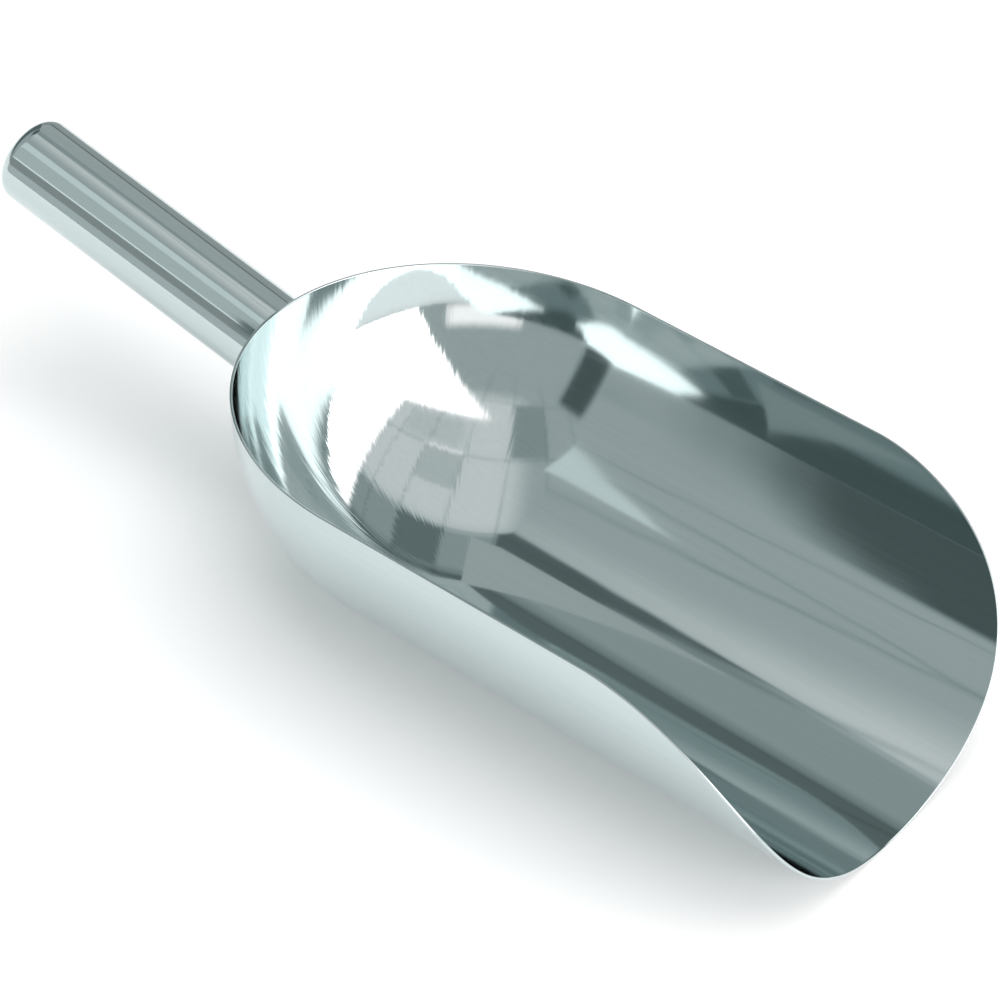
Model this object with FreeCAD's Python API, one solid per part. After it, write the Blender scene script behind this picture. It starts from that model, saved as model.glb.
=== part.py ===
"""Stainless ice scoop: a pressed bowl with a hollow handle welded to its domed back.

The bowl is a round trough that ends in a dome, all one pressed sheet. Its free edge is level
along the dome and the trough, then sweeps down to a blunt lip. A tube is coped to fit the dome
and welded there. Its free end is closed by a pressed cap, butt-welded and ground flush.

Millimetres, +Z up, +X towards the lip. The origin is the centre of the bounding box at its base.
"""

import FreeCAD
import Part
import math
import os

from FreeCAD import Vector

# Bowl
BOWL_RADIUS = 70.0        # outside of the trough
SHEET = 0.8               # thickness of the pressed sheet
DOME_DEPTH = 66.0         # outside, from the end of the trough to the dome's back
RIM_HEIGHT = 60.5         # level part of the free edge, above the base
LIP_START = 78.5          # from the end of the trough to where the edge leaves the level
LIP_REACH = 138.5         # from the end of the trough to the tip of the lip
LIP_FULLNESS_ALONG = 1.72     # exponents of the superellipse that the lip follows
LIP_FULLNESS_ACROSS = 3.58    # on the sheet laid flat

# Handle
TUBE_RADIUS = 12.5        # outside
TUBE_WALL = 0.8
HANDLE_TILT = 9.7         # degrees above the horizontal
HANDLE_ANCHOR_BACK = 59.5     # a point on the handle's axis, inside the dome,
HANDLE_ANCHOR_HEIGHT = 43.7   # back from the end of the trough and above the base
HANDLE_REACH = 103.4      # from that point to the end of the cap, along the axis
CAP_CORNER = 4.5          # outside radius of the cap's corner
CAP_CROWN = 35.0          # outside radius of the cap's gently domed end
CAP_SKIRT = 5.0           # straight part of the cap

# Welds
ROOT_WELD = 2.0           # radius of the fillet between the tube and the dome
CAP_WELD_WIDTH = 1.6
CAP_WELD_ROOT = 0.3       # how far the cap's weld stands proud inside the tube

TUBE_SURPLUS = 20.0       # extra length of tube inside the dome before it is coped
BLADE_OVERHANG = 3.0      # how far the trimming blade reaches past each side of the sheet
JOINT_TOLERANCE = 0.01    # for telling which edges are on both the tube and the dome
LIP_POINTS = 20           # steps from the level edge to the tip
LIP_STRETCHES = 4         # faces that the lip's edge is made of

# Worked out from the sizes above
TILT = math.radians(HANDLE_TILT)
CROWN_CENTRE = HANDLE_REACH - CAP_CROWN
HANDLE_BACK = HANDLE_ANCHOR_BACK + CROWN_CENTRE * math.cos(TILT) + CAP_CROWN
TROUGH_END = (HANDLE_BACK - LIP_REACH) / 2.0      # x of the end of the trough

BOWL_AXIS = Vector(TROUGH_END, 0, BOWL_RADIUS)
RIM_ANGLE = math.acos(1 - RIM_HEIGHT / BOWL_RADIUS)
ANCHOR = Vector(TROUGH_END - HANDLE_ANCHOR_BACK, 0, HANDLE_ANCHOR_HEIGHT)
HANDLE_DIRECTION = Vector(-math.cos(TILT), 0, math.sin(TILT))
HANDLE_UP = Vector(math.sin(TILT), 0, math.cos(TILT))

CORNER_CENTRE_RADIUS = TUBE_RADIUS - CAP_CORNER
CORNER_CENTRE = CROWN_CENTRE + math.sqrt((CAP_CROWN - CAP_CORNER) ** 2 - CORNER_CENTRE_RADIUS ** 2)
CAP_MOUTH = CORNER_CENTRE - CAP_SKIRT
TUBE_END = CAP_MOUTH - CAP_WELD_WIDTH


def dome_body(offset, top):
    """The solid dome, its outside moved inwards by offset, up to the height top; scaled from a sphere."""
    radius = BOWL_RADIUS - offset
    latitude = math.degrees(math.asin((top - BOWL_RADIUS) / radius))
    ball = Part.makeSphere(radius, Vector(0, 0, 0), Vector(0, 0, 1), -90, latitude, 180)
    ball.rotate(Vector(0, 0, 0), Vector(0, 0, 1), 90)
    squeeze = FreeCAD.Matrix()
    squeeze.scale((DOME_DEPTH - offset) / radius, 1, 1)
    dome = ball.transformGeometry(squeeze)
    dome.translate(BOWL_AXIS)
    return dome


def trough_point(radius, angle):
    """A point of the trough's section at its end, at an angle from straight down."""
    return BOWL_AXIS + Vector(0, radius * math.sin(angle), -radius * math.cos(angle))


def trough_blank():
    """The half tube that the trough and the lip are cut from."""
    outer, inner, side = BOWL_RADIUS, BOWL_RADIUS - SHEET, math.pi / 2
    section = Part.Wire([
        Part.Arc(*[trough_point(outer, turn) for turn in (-side, 0, side)]).toShape(),
        Part.makeLine(trough_point(outer, side), trough_point(inner, side)),
        Part.Arc(*[trough_point(inner, turn) for turn in (side, 0, -side)]).toShape(),
        Part.makeLine(trough_point(inner, -side), trough_point(outer, -side)),
    ])
    return Part.Face(section).extrude(Vector(LIP_REACH + BLADE_OVERHANG, 0, 0))


def lip_edge(share):
    """A point of the lip and the way through the sheet there; share 0 is the level edge and 1 the tip.

    On the sheet laid flat the lip is a superellipse. The way through is level at the level edge
    and straight down at the tip.
    """
    across = math.cos(share * math.pi / 2)
    along = (1 - across ** LIP_FULLNESS_ACROSS) ** (1 / LIP_FULLNESS_ALONG)
    angle = across * RIM_ANGLE
    point = trough_point(BOWL_RADIUS, angle)
    point.x += LIP_START + (LIP_REACH - LIP_START) * along
    lean = across * math.pi / 2
    return point, Vector(0, math.sin(lean), -math.cos(lean))


def trimming_blade():
    """The open shell that follows the trough's free edge through the sheet, level edges and lip."""
    half = [lip_edge(i / LIP_POINTS) for i in range(LIP_POINTS + 1)]
    whole = half + [(Vector(p.x, -p.y, p.z), Vector(d.x, -d.y, d.z)) for p, d in half[-2::-1]]
    reaches = (BLADE_OVERHANG, -SHEET - BLADE_OVERHANG)
    rails = []
    for reach in reaches:
        rail = Part.BSplineCurve()
        rail.interpolate(Points=[p + d * reach for p, d in whole],
                         Parameters=[i / (len(whole) - 1) for i in range(len(whole))])
        rails.append(rail)
    faces = []
    for i in range(LIP_STRETCHES):
        start, end = i / LIP_STRETCHES, (i + 1) / LIP_STRETCHES
        faces.append(Part.makeRuledSurface(*[rail.toShape(start, end) for rail in rails]))
    back = Vector(-LIP_START - BLADE_OVERHANG, 0, 0)
    for point, way in (whole[0], whole[-1]):
        near, far = [point + way * reach for reach in reaches]
        faces.append(Part.Face(Part.makePolygon([near, far, far + back, near + back, near])))
    return Part.makeShell(faces)


def scoop_bowl():
    pieces, _ = trough_blank().generalFuse([trimming_blade()])
    trough = min(pieces.Solids, key=lambda solid: solid.CenterOfMass.z)
    dome = dome_body(0, RIM_HEIGHT).cut(dome_body(SHEET, RIM_HEIGHT))
    return trough.fuse(dome).Solids[0]


def on_handle(along, radius):
    """A point at a distance along the handle's axis from its anchor and at a radius from the axis."""
    return ANCHOR + HANDLE_DIRECTION * along + HANDLE_UP * radius


def rod(radius, start, end):
    return Part.makeCylinder(radius, end - start, on_handle(start, 0), HANDLE_DIRECTION)


def handle_tube():
    tube = rod(TUBE_RADIUS, -TUBE_SURPLUS, TUBE_END).cut(
        rod(TUBE_RADIUS - TUBE_WALL, -TUBE_SURPLUS, TUBE_END))
    return tube.cut(dome_body(0, BOWL_RADIUS)).Solids[0]


def cap_body(offset):
    """The closed solid of the cap, its outside moved inwards by offset, from its mouth to its end."""
    corner, crown = CAP_CORNER - offset, CAP_CROWN - offset
    lean = math.asin(CORNER_CENTRE_RADIUS / (CAP_CROWN - CAP_CORNER))   # where corner meets crown

    def corner_point(angle):
        return on_handle(CORNER_CENTRE + corner * math.cos(angle),
                         CORNER_CENTRE_RADIUS + corner * math.sin(angle))

    def crown_point(angle):
        return on_handle(CROWN_CENTRE + crown * math.cos(angle), crown * math.sin(angle))

    skirt_start = on_handle(CAP_MOUTH, CORNER_CENTRE_RADIUS + corner)
    outline = Part.Wire([
        Part.makeLine(on_handle(CAP_MOUTH, 0), skirt_start),
        Part.makeLine(skirt_start, corner_point(math.pi / 2)),
        Part.Arc(corner_point(math.pi / 2), corner_point((math.pi / 2 + lean) / 2),
                 corner_point(lean)).toShape(),
        Part.Arc(crown_point(lean), crown_point(lean / 2), crown_point(0)).toShape(),
        Part.makeLine(crown_point(0), on_handle(CAP_MOUTH, 0)),
    ])
    return Part.Face(outline).revolve(ANCHOR, HANDLE_DIRECTION, 360)


def handle_end_cap():
    return cap_body(0).cut(cap_body(TUBE_WALL)).Solids[0]


def cap_weld():
    """The ring of weld between the tube and the cap: flush outside, a little proud inside."""
    inner = TUBE_RADIUS - TUBE_WALL
    corners = [on_handle(TUBE_END, inner), on_handle(TUBE_END, TUBE_RADIUS),
               on_handle(CAP_MOUTH, TUBE_RADIUS), on_handle(CAP_MOUTH, inner)]
    middle = on_handle((TUBE_END + CAP_MOUTH) / 2, inner - CAP_WELD_ROOT)
    edges = [Part.makeLine(a, b) for a, b in zip(corners, corners[1:])]
    edges.append(Part.Arc(corners[3], middle, corners[0]).toShape())
    return Part.Face(Part.Wire(edges)).revolve(ANCHOR, HANDLE_DIRECTION, 360)


def root_weld():
    """The fillet of weld round the handle's root: what filleting the joint adds."""
    joined = dome_body(0, BOWL_RADIUS).fuse(rod(TUBE_RADIUS, -TUBE_SURPLUS, TUBE_END)).Solids[0]
    root = [edge for edge in joined.Edges
            if not edge.Degenerated and all(is_on_joint(point) for point in edge.discretize(5))]
    return joined.makeFillet(ROOT_WELD, root).cut(joined).Solids[0]


def is_on_joint(point):
    """Whether a point is on both the tube and the dome."""
    on_tube = abs((point - ANCHOR).cross(HANDLE_DIRECTION).Length - TUBE_RADIUS) < JOINT_TOLERANCE
    offset = point - BOWL_AXIS
    dome = math.hypot(offset.x / DOME_DEPTH, offset.y / BOWL_RADIUS, offset.z / BOWL_RADIUS)
    return on_tube and abs(dome - 1) * DOME_DEPTH < JOINT_TOLERANCE


def main():
    os.makedirs("parts", exist_ok=True)
    parts = {
        "scoop_bowl": scoop_bowl(),
        "handle_tube": handle_tube(),
        "handle_end_cap": handle_end_cap(),
        "handle_root_weld": root_weld(),
        "handle_cap_weld": cap_weld(),
    }
    for name, shape in parts.items():
        shape.exportStep(f"parts/{name}.step")
        box = shape.BoundBox
        print(f"{name}: {shape.ShapeType} valid {shape.isValid()} volume {shape.Volume:.1f} mm3, "
              f"x {box.XMin:.2f} to {box.XMax:.2f}, z {box.ZMin:.2f} to {box.ZMax:.2f}")


main()
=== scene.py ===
"""Looks of the ice scoop: polished stainless bowl and tube handle, on a plain pale floor.

Metres, in the frame of the CAD model: +X towards the lip, +Z up, mirror plane y = 0. Angles are
in degrees where they are listed here. The metal is a mirror, so most of its look is what stands
around it: a tiled ceiling, a window, dark and light panels, and cards beside the handle.
"""
import math

import bpy
import numpy as np
from mathutils import Matrix, Vector


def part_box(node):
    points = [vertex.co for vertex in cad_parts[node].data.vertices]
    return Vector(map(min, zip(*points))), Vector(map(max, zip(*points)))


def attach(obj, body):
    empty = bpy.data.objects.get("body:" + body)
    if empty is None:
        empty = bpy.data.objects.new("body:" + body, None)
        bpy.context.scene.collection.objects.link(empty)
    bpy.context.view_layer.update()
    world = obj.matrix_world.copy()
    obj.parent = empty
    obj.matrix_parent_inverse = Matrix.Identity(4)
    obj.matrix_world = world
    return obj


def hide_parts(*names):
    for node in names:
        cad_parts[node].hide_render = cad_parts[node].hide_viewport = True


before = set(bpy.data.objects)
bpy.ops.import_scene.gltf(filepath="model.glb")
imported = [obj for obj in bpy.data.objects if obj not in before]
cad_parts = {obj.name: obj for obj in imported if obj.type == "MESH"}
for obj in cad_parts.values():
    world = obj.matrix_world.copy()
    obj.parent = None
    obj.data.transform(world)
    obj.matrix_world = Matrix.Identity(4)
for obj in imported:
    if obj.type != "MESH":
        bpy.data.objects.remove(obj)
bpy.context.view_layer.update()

# Bowl: the sizes that the CAD model is made from
BOWL_RADIUS = 0.070
SHEET = 0.0008
DOME_DEPTH = 0.066
RIM_HEIGHT = 0.0605
LIP_START = 0.0785
LIP_REACH = 0.1385
LIP_FULLNESS_ALONG = 1.72
LIP_FULLNESS_ACROSS = 3.58
TROUGH_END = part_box("scoop_bowl")[1].x - LIP_REACH      # x where the dome meets the trough
RIM_ANGLE = math.acos(1 - RIM_HEIGHT / BOWL_RADIUS)     # radians from straight down to the rim

# Fineness of the bowl's mesh
HALF_TURN_STEPS = 88      # from the bottom of the trough to its rim
DOME_STEPS = 64           # from the back of the rim to the trough
TROUGH_STEPS = 30
LIP_STEPS = 72
EDGE_STEPS = 4            # round the free edge of the sheet
WELD_DISTANCE = 1e-7      # points of two patches that are closer than this are one

# Metal
STEEL_TINT = (0.585, 0.665, 0.667)
LINE_TINT = 0.965                   # share of the tint that is left on the darkest polishing lines
ROUGHNESS = 0.04
LINE_ROUGHNESS = (0.7, 1.3)         # share of the roughness that the polishing lines give
PATCH_ROUGHNESS = (0.0, 1.4)        # and that less polished patches add
PATCH_SCALE = 22.0                  # patches in a metre
NOISE_RANGE = (0.3, 0.7)            # the values that most of a noise lies between
EVEN = (1, 1, 1)                    # a noise that isn't stretched
BOWL_LINES = (14, 900, 900)         # polishing lines in a metre along each axis
HANDLE_LINES = (10, 1200, 1200)
LINE_DEPTH = 1e-6
WAVE_SCALE, WAVE_DEPTH = 26.0, 0.00012      # slow waves of the pressed sheet
RAY_SCALE = (26, 40, 1)             # streaks in a radian round the dome, and in a metre up it
RAY_DEPTH = 0.00003
RAY_FADE = (0.004, 0.024)           # behind the end of the trough, where the streaks start to show

# Surroundings
BLACK, WHITE = (0, 0, 0), (1, 1, 1)
FLOOR_TINT = (0.86, 0.865, 0.865)
FLOOR_GLOW = 0.20
FLOOR_HALF = 6.0
FLOOR_DROP = 0.0001                 # below the scoop, so that the two don't share a plane
LAMP_SIZE, LAMP_HEIGHT, LAMP_POWER = 2.4, 2.2, 26.0
LIGHT_TINT = (1.08, 1.0, 1.0)       # of the bright parts of the surroundings
SHADE_TINT = (0.75, 0.99, 1.0)      # and of the dark ones
CEILING_TURN = 30                   # of the tile columns, from +X towards +Y
CEILING_LIGHT = 0.50
HORIZON = 0.02                      # the least height of a view that the ceiling is worked out for
PANEL_HORIZON = 0.01                # and the least nearness to a panel's middle
TILE_COLUMNS = (0.20, 0.38)         # a joint, and the pitch
TILE_ROWS = (0.31, 0.686)
JOINT_WIDTH, JOINT_DARKNESS = 0.022, 0.24
JOINT_FADE = (0.55, 0.12)           # height of the view at which the joints fade, and how softly
WINDOW_LIGHT = 2.8
SKYLIGHT_FOOT = (-0.80, 0.06)       # the skylight is beyond this row, and how soft its edge is
SKYLIGHT_SLANT = (-0.70, 0.12)      # and beyond this sum of row and column

# The ceiling is a plane, measured in its own height above the scoop, along the tiles' columns and
# rows: low corner, high corner, edge softness, brightness
CEILING_FIELDS = [
    ((-0.30, -1.15), (1.25, 0.33), 0.16, 0.82),             # lit middle
    ((-0.60, 0.33), (9.0, 0.90), 0.03, 0.40),               # dimmer tiles towards the dark wall
    ((-9.0, 0.90), (9.0, 9.0), 0.12, 0.17),                 # dark wall opposite the camera
    ((0.20, 0.33), (0.577, 0.88), 0.015, 0.21),             # dark hatch
    ((0.20, -0.37), (0.577, -0.045), 0.015, 0.64),          # grey half tile
    ((-0.57, -1.05), (-0.19, -0.40), 0.02, 0.37),           # grey tile
    ((-0.57, 0.31), (-0.20, 0.72), 0.015, 0.15),            # dark tile
    ((0.26, -0.72), (0.95, -0.41), 0.08, 0.70),             # grey haze before the window
    ((0.20, -0.395), (0.60, -0.365), 0.01, 1.25),           # bright strip
    ((1.25, -0.90), (20.0, 0.95), 0.09, WINDOW_LIGHT),      # window past the lip
]
# azimuth from +X towards +Y, angle down from straight up, width, height, edge softness, brightness
PANELS = [
    (-103, 74, 15, 38, 2, 0.12),        # dark door
    (-133, 83, 36, 30, 2, 0.38),        # grey wall behind the handle
    (-45, 85, 34, 9, 3, 1.4),           # low window beside the lip
]
FAR_SIDE, NEAR_SIDE = 0.16, -0.16       # y of the cards beside the handle
FAR_STRETCH, NEAR_STRETCH = (-0.32, -0.085), (-0.34, -0.118)        # x that they span
# The cards glow with painted light in place of lit grey cards, and are seen only mirrored in the metal
CARD_TINT = (0.93, 1, 1)
# y, x from and to, z from and to, brightness of the card's glow, which is painted light
CARDS = [
    (FAR_SIDE, FAR_STRETCH, (0.07, 0.15), 0.42),
    (FAR_SIDE, FAR_STRETCH, (0.15, 0.17), 0.22),
    (FAR_SIDE, FAR_STRETCH, (0.17, 0.50), 0.50),
    (NEAR_SIDE, NEAR_STRETCH, (0.0, 0.06), 0.60),
    (NEAR_SIDE, NEAR_STRETCH, (0.06, 0.115), 0.36),
    (NEAR_SIDE, NEAR_STRETCH, (0.115, 0.125), 1.10),
    (NEAR_SIDE, NEAR_STRETCH, (0.125, 0.26), 0.62),
    (NEAR_SIDE, NEAR_STRETCH, (0.26, 0.42), 0.84),
]

# Camera
CAMERA_AZIMUTH, CAMERA_ELEVATION, CAMERA_ROLL = 29.71, 36.30, 10.58
CAMERA_DISTANCE = 12.484 * BOWL_RADIUS
CAMERA_SIDEWAYS, CAMERA_UPWARDS = 0.0957 * BOWL_RADIUS, -0.0539 * BOWL_RADIUS
CAMERA_LENS, CAMERA_SENSOR = 119.9, 36.0


# ---------------------------------------------------------------- meshes

def add_object(name, data):
    thing = bpy.data.objects.new(name, data)
    bpy.context.scene.collection.objects.link(thing)
    return thing


def sheet_point(offset, x, turn):
    """A point of the trough's or lip's sheet and its outward normal, offset inwards from the outside."""
    radius = BOWL_RADIUS - offset
    out = np.stack([0 * turn, np.sin(turn), -np.cos(turn)], -1)
    centre = np.stack([TROUGH_END + x, 0 * turn, 0 * turn + BOWL_RADIUS], -1)
    return centre + radius * out, out


def dome_point(offset, longitude, turn):
    """The same on the dome: longitude runs from one end of the trough's section to the other."""
    ball = np.stack([-np.sin(longitude) * np.sin(turn), np.cos(longitude) * np.sin(turn), -np.cos(turn)], -1)
    axes = np.array([DOME_DEPTH, BOWL_RADIUS, BOWL_RADIUS]) - offset
    out = ball / axes
    out /= np.linalg.norm(out, axis=-1, keepdims=True)
    return np.array([TROUGH_END, 0, BOWL_RADIUS]) + ball * axes, out


def lip_line(share):
    """The lip's edge on the sheet laid flat, as (reach along the trough, angle from straight down)."""
    across = np.cos(share * math.pi / 2)
    along = (1 - across ** LIP_FULLNESS_ACROSS) ** (1 / LIP_FULLNESS_ALONG)
    return LIP_START + (LIP_REACH - LIP_START) * along, RIM_ANGLE * across


def bowl_side(offset):
    """Rows of points and normals of one side of the whole sheet, in three patches that share their ends."""
    edge_setback = SHEET / 2
    rim_turn = RIM_ANGLE - edge_setback / BOWL_RADIUS
    across = np.linspace(-1, 1, 2 * HALF_TURN_STEPS + 1)

    longitude, turn = np.meshgrid(np.linspace(0, math.pi, 2 * DOME_STEPS + 1),
                                  rim_turn * np.linspace(0, 1, HALF_TURN_STEPS + 1), indexing="ij")
    dome = dome_point(offset, longitude, turn)

    x, turn = np.meshgrid(np.linspace(0, LIP_START, TROUGH_STEPS + 1), rim_turn * across, indexing="ij")
    trough = sheet_point(offset, x, turn)

    share = np.linspace(0, 1, LIP_STEPS + 1)
    reach, angle = lip_line(share)
    slope = np.stack([np.gradient(reach), np.gradient(angle) * BOWL_RADIUS])
    slope /= np.linalg.norm(slope, axis=0)
    reach = reach + slope[1] * edge_setback      # the setback is square to the edge, into the sheet
    angle = angle - slope[0] * edge_setback / BOWL_RADIUS
    reach[0], angle[0], angle[-1] = LIP_START, rim_turn, 0
    x = np.repeat(reach[:, None], len(across), 1)
    lip = sheet_point(offset, x, angle[:, None] * across)
    return dome, trough, lip


def patch_quads(rows, columns, first):
    """The quads of a patch whose first point has the number first."""
    i, j = np.meshgrid(np.arange(rows - 1), np.arange(columns - 1), indexing="ij")
    corner = first + i * columns + j
    return np.stack([corner, corner + columns, corner + columns + 1, corner + 1], -1).reshape(-1, 4)


def welded_piece(name, patches):
    """A smooth mesh piece with exact normals from patches of (points, normals), joined where they meet."""
    points, normals, quads, first = [], [], [], 0
    for grid, out in patches:
        points.append(grid.reshape(-1, 3))
        normals.append(out.reshape(-1, 3))
        quads.append(patch_quads(*grid.shape[:2], first))
        first += len(points[-1])
    points, normals, quads = map(np.concatenate, (points, normals, quads))
    corners = points[quads]
    facing = np.cross(corners[:, 2] - corners[:, 0], corners[:, 3] - corners[:, 1])
    backward = (facing * normals[quads].sum(1)).sum(-1) < 0
    quads[backward] = quads[backward, ::-1]
    _, keep, number = np.unique(np.round(points / WELD_DISTANCE).astype(np.int64), axis=0,
                                return_index=True, return_inverse=True)
    faces = [list(dict.fromkeys(quad)) for quad in number.reshape(-1)[quads].tolist()]
    mesh = bpy.data.meshes.new(name)
    mesh.from_pydata(points[keep].tolist(), [], [face for face in faces if len(face) > 2])
    mesh.validate()
    mesh.shade_smooth()
    mesh.normals_split_custom_set_from_vertices(normals[keep].tolist())
    return add_object(name, mesh)


def edge_round(outer, inner, outer_normal):
    """The half round that joins the closed outer edge line to the inner one, with its normals."""
    middle, across = (outer + inner) / 2, (outer - inner) / 2
    along = np.roll(middle, -1, 0) - np.roll(middle, 1, 0)
    ahead = np.cross(outer_normal, along)
    ahead *= (np.linalg.norm(across, axis=-1) / np.linalg.norm(ahead, axis=-1))[:, None]
    rows, normals = [], []
    for angle in np.linspace(0, math.pi, EDGE_STEPS + 1):
        arm = across * math.cos(angle) + ahead * math.sin(angle)
        arm = np.concatenate([arm, arm[:1]])
        rows.append(np.concatenate([middle, middle[:1]]) + arm)
        normals.append(arm / np.linalg.norm(arm, axis=-1, keepdims=True))
    return np.stack(rows), np.stack(normals)


def make_bowl():
    outside, inside = bowl_side(0.0), bowl_side(SHEET)
    patches = [(grid, out * sign) for side, sign in ((outside, 1), (inside, -1)) for grid, out in side]

    def edge_line(side, part):
        """The free edge from the tip of the lip round the back to just before the tip again."""
        dome, trough, lip = [patch[part] for patch in side]
        return np.concatenate([lip[:0:-1, -1], trough[:0:-1, -1], dome[:, -1], trough[1:, 0], lip[1:-1, 0]])

    patches.append(edge_round(edge_line(outside, 0), edge_line(inside, 0), edge_line(outside, 1)))
    return welded_piece("bowl_sheet", patches)


# ---------------------------------------------------------------- materials

class Wiring:
    """Adds nodes to the tree of a material or world. A value is a plain one or another node's output."""

    def __init__(self, holder):
        holder.use_nodes = True
        self.nodes = holder.node_tree.nodes
        self.links = holder.node_tree.links

    def give(self, socket, value):
        """Sets a socket to a plain value, or links another node's output to it."""
        if isinstance(value, bpy.types.NodeSocket):
            self.links.new(value, socket)
        else:
            socket.default_value = value

    def add(self, kind, inputs, **settings):
        """A new node, with its settings made before its inputs are given."""
        node = self.nodes.new("ShaderNode" + kind)
        for name, value in settings.items():
            setattr(node, name, value)
        for name, value in inputs.items():
            self.give(node.inputs[name], value)
        return node

    def maths(self, operation, *values):
        node = self.add("Math", {}, operation=operation)
        for socket, value in zip(node.inputs, values):
            self.give(socket, value)
        return node.outputs[0]

    def noise(self, place, stretch, scale, detail):
        mapping = self.add("Mapping", {"Vector": place, "Scale": stretch})
        inputs = {"Vector": mapping.outputs["Vector"], "Scale": scale, "Detail": detail}
        return self.add("TexNoise", inputs).outputs["Fac"]

    def ranged(self, value, old, new, **settings):
        limits = {"From Min": old[0], "From Max": old[1], "To Min": new[0], "To Max": new[1]}
        return self.add("MapRange", {"Value": value, **limits}, **settings).outputs["Result"]

    def mixed(self, factor, first, second, **settings):
        return self.add("Mix", {"Factor": factor, "A": first, "B": second}, **settings).outputs["Result"]

    def bumped(self, height, depth, normal=None):
        node = self.add("Bump", {"Strength": 1.0, "Distance": depth, "Height": height})
        if normal is not None:
            self.give(node.inputs["Normal"], normal)
        return node.outputs["Normal"]


def dome_rays(wiring, place):
    """Fine streaks that fan out over the dome, as a height that fades out towards the trough."""
    split = wiring.add("SeparateXYZ", {"Vector": place})
    back = wiring.maths("SUBTRACT", TROUGH_END, split.outputs["X"])
    angle = wiring.maths("ARCTAN2", split.outputs["Y"], back)
    fan = wiring.add("CombineXYZ", {"X": angle, "Y": split.outputs["Z"]})
    streaks = wiring.noise(fan.outputs[0], RAY_SCALE, scale=1.0, detail=2.0)
    return wiring.maths("MULTIPLY", streaks, wiring.ranged(back, RAY_FADE, (0, 1)))


def steel(name, brush):
    """Polished stainless steel, still without its bumps; brush is how many polishing lines a metre has.

    Gives the material, its wiring, the place on the object and the noise of the polishing lines.
    """
    material = bpy.data.materials.new(name)
    wiring = Wiring(material)
    shader = wiring.nodes["Principled BSDF"]
    shader.inputs["Metallic"].default_value = 1.0
    place = wiring.add("TexCoord", {}).outputs["Object"]
    lines = wiring.noise(place, brush, scale=1.0, detail=3.0)
    patches = wiring.noise(place, EVEN, scale=PATCH_SCALE, detail=2.0)

    along_lines = [ROUGHNESS * share for share in LINE_ROUGHNESS]
    on_patches = [ROUGHNESS * share for share in PATCH_ROUGHNESS]
    roughness = wiring.maths("ADD", wiring.ranged(lines, NOISE_RANGE, along_lines),
                             wiring.ranged(patches, NOISE_RANGE, on_patches))
    wiring.give(shader.inputs["Roughness"], roughness)

    darker = [LINE_TINT * channel for channel in STEEL_TINT]
    colour = wiring.mixed(wiring.ranged(lines, NOISE_RANGE, (0, 1)), (*darker, 1), (*STEEL_TINT, 1),
                          data_type="RGBA")
    wiring.give(shader.inputs["Base Color"], colour)
    return material, wiring, place, lines


def bowl_steel():
    """Steel with lines along the trough, slow waves, and streaks that fan out over the dome."""
    material, wiring, place, lines = steel("bowl_steel", BOWL_LINES)
    rays = wiring.bumped(dome_rays(wiring, place), RAY_DEPTH)
    swell = wiring.noise(place, EVEN, scale=WAVE_SCALE, detail=1.0)
    waves = wiring.bumped(swell, WAVE_DEPTH, rays)
    wiring.give(wiring.nodes["Principled BSDF"].inputs["Normal"], wiring.bumped(lines, LINE_DEPTH, waves))
    return material


def handle_steel():
    """Steel with lines along the handle."""
    material, wiring, _, lines = steel("handle_steel", HANDLE_LINES)
    wiring.give(wiring.nodes["Principled BSDF"].inputs["Normal"], wiring.bumped(lines, LINE_DEPTH))
    return material


def plain(name, base, glow, glow_tint, specular, roughness):
    """A plain surface that also gives off some light of its own."""
    material = bpy.data.materials.new(name)
    material.use_nodes = True
    inputs = material.node_tree.nodes["Principled BSDF"].inputs
    inputs["Base Color"].default_value = (*base, 1)
    inputs["Roughness"].default_value = roughness
    inputs["Specular IOR Level"].default_value = specular
    inputs["Emission Color"].default_value = (*glow_tint, 1)
    inputs["Emission Strength"].default_value = glow
    return material


# ---------------------------------------------------------------- surroundings

def direction(azimuth, zenith):
    """Unit vector: azimuth from +X towards +Y and angle down from straight up, in degrees."""
    a, z = math.radians(azimuth), math.radians(zenith)
    return Vector((math.cos(a) * math.sin(z), math.sin(a) * math.sin(z), math.cos(z)))


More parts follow.
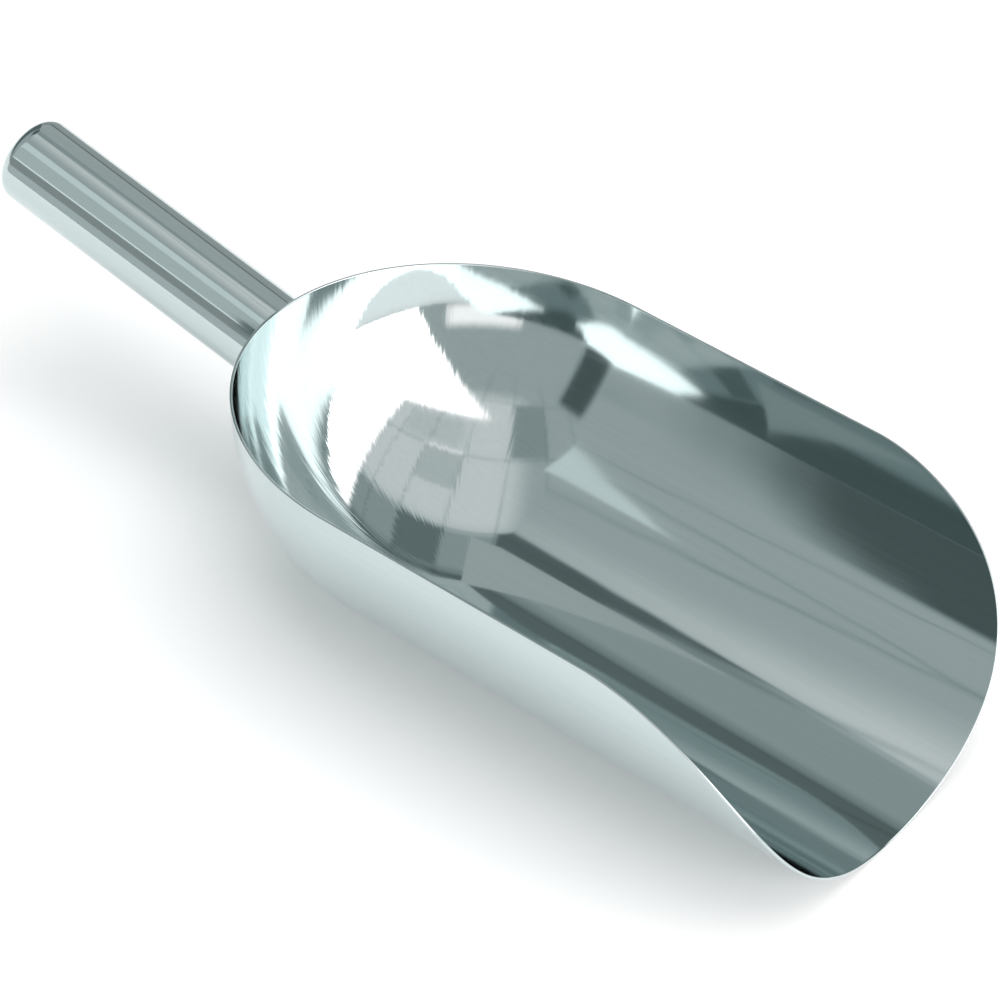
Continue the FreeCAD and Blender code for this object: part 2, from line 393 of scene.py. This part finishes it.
def studio_world():
    """A soft studio, far away: a tiled ceiling with dark and bright fields, and low panels round it."""
    world = bpy.data.worlds.new("studio")
    bpy.context.scene.world = world
    wiring = Wiring(world)
    maths = wiring.maths
    look = wiring.add("TexCoord", {}).outputs["Generated"]

    def along(vector):
        inputs = {0: look, 1: vector}
        return wiring.add("VectorMath", inputs, operation="DOT_PRODUCT").outputs["Value"]

    def below(value, limit, soft):
        """1 where the value is under the limit, 0 where it is over, with an edge of twice soft."""
        return wiring.ranged(value, (limit + soft, limit - soft), (0, 1), interpolation_type="SMOOTHSTEP")

    def above(value, limit, soft):
        return below(maths("MULTIPLY", value, -1), -limit, soft)

    def field(across, down, middle, half, soft):
        """1 inside a rectangle, 0 outside."""
        sides = [below(maths("ABSOLUTE", maths("SUBTRACT", value, centre)), extent, soft)
                 for value, centre, extent in zip((across, down), middle, half)]
        return maths("MULTIPLY", *sides)

    height = maths("MAXIMUM", along((0, 0, 1)), HORIZON)
    across = maths("DIVIDE", along(direction(CEILING_TURN, 90)), height)
    down = maths("DIVIDE", along(direction(CEILING_TURN + 90, 90)), height)
    light = CEILING_LIGHT
    for low_corner, high_corner, soft, brightness in CEILING_FIELDS:
        middle = [(a + b) / 2 for a, b in zip(low_corner, high_corner)]
        half = [(b - a) / 2 for a, b in zip(low_corner, high_corner)]
        light = wiring.mixed(field(across, down, middle, half, soft), light, brightness)

    for place, (start, pitch) in ((across, TILE_COLUMNS), (down, TILE_ROWS)):
        gap = maths("PINGPONG", maths("SUBTRACT", place, start), pitch / 2)
        joint = maths("MULTIPLY", below(gap, JOINT_WIDTH / 2, JOINT_WIDTH / 2), above(height, *JOINT_FADE))
        light = maths("MULTIPLY", light, maths("SUBTRACT", 1, maths("MULTIPLY", joint, JOINT_DARKNESS)))

    beyond = above(maths("ADD", across, down), *SKYLIGHT_SLANT)
    skylight = maths("MULTIPLY", below(down, *SKYLIGHT_FOOT), beyond)
    light = wiring.mixed(skylight, light, WINDOW_LIGHT)

    for azimuth, zenith, width, tall, soft, brightness in PANELS:
        centre = direction(azimuth, zenith)
        upward = -direction(azimuth, zenith + 90)
        depth = maths("MAXIMUM", along(centre), PANEL_HORIZON)
        half = [math.tan(math.radians(size / 2)) for size in (width, tall)]
        panel = field(maths("DIVIDE", along(upward.cross(centre)), depth),
                      maths("DIVIDE", along(upward), depth), (0, 0), half, math.radians(soft))
        light = wiring.mixed(panel, light, brightness)

    background = wiring.nodes["Background"].inputs
    tint = wiring.mixed(light, (*SHADE_TINT, 1), (*LIGHT_TINT, 1), data_type="RGBA")
    wiring.give(background["Color"], tint)
    wiring.give(background["Strength"], light)


def overhead_light():
    """A wide soft light that whitens the floor and isn't mirrored in the metal."""
    lamp = bpy.data.lights.new("overhead", "AREA")
    lamp.shape = "DISK"
    lamp.size = LAMP_SIZE
    lamp.energy = LAMP_POWER
    light = add_object("overhead", lamp)
    light.location = (0, 0, LAMP_HEIGHT)
    light.visible_glossy = False
    light.visible_camera = False


def stage_plane(name, corners, material):
    """A rectangle that stands round the object and isn't part of it."""
    mesh = bpy.data.meshes.new(name)
    mesh.from_pydata(corners, [], [(0, 1, 2, 3)])
    mesh.materials.append(material)
    plane = add_object(name, mesh)
    return plane


def make_floor():
    half = FLOOR_HALF
    corners = [(-half, -half, 0), (half, -half, 0), (half, half, 0), (-half, half, 0)]
    material = plain("pale_floor", FLOOR_TINT, FLOOR_GLOW, WHITE, specular=0.1, roughness=0.9)
    stage_plane("floor", corners, material).location.z = -FLOOR_DROP


def handle_cards():
    """Glowing cards on both sides of the handle, seen only mirrored in the metal. Their grey is painted
    light: a glow of their own in place of a lit card, which makes bright and dim bands in the reflections.
    """
    for number, (y, (x_start, x_end), (z_start, z_end), brightness) in enumerate(CARDS):
        corners = [(x_start, y, z_start), (x_end, y, z_start), (x_end, y, z_end), (x_start, y, z_end)]
        # painted light: a black card that glows at the listed brightness, in place of a lit grey card
        material = plain(f"glowing_card_{number}", BLACK, brightness, CARD_TINT, specular=0.0, roughness=0.5)
        card = stage_plane(f"card_{number}", corners, material)
        card.visible_camera = False
        card.visible_diffuse = False
        card.visible_shadow = False


def make_camera():
    """A long lens from the lip's near side, looking down and rolled a little."""
    azimuth, elevation, roll = map(math.radians, (CAMERA_AZIMUTH, CAMERA_ELEVATION, CAMERA_ROLL))
    back = Vector((math.sin(azimuth) * math.cos(elevation), -math.cos(azimuth) * math.cos(elevation),
                   math.sin(elevation)))
    level = Vector((math.cos(azimuth), math.sin(azimuth), 0))
    rise = back.cross(level)
    right = math.cos(roll) * level + math.sin(roll) * rise
    up = math.cos(roll) * rise - math.sin(roll) * level
    target = Vector((TROUGH_END, 0, BOWL_RADIUS / 2)) + CAMERA_SIDEWAYS * right + CAMERA_UPWARDS * up
    camera = add_object("camera", bpy.data.cameras.new("camera"))
    camera.data.sensor_width = CAMERA_SENSOR
    camera.data.lens = CAMERA_LENS
    turned = Matrix((right, up, back)).transposed().to_4x4()
    camera.matrix_world = Matrix.Translation(target + CAMERA_DISTANCE * back) @ turned
    bpy.context.scene.camera = camera


# ---------------------------------------------------------------- the scene

make_camera()
studio_world()
overhead_light()
make_floor()
handle_cards()

bowl = make_bowl()
bowl.data.materials.append(bowl_steel())
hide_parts("scoop_bowl")
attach(bowl, "root")

handle_metal = handle_steel()
for name in ("handle_tube", "handle_end_cap", "handle_root_weld", "handle_cap_weld"):
    for material_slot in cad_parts[name].material_slots:
        material_slot.material = handle_metal

bpy.context.scene.view_settings.view_transform = "Standard"
bpy.context.view_layer.update()
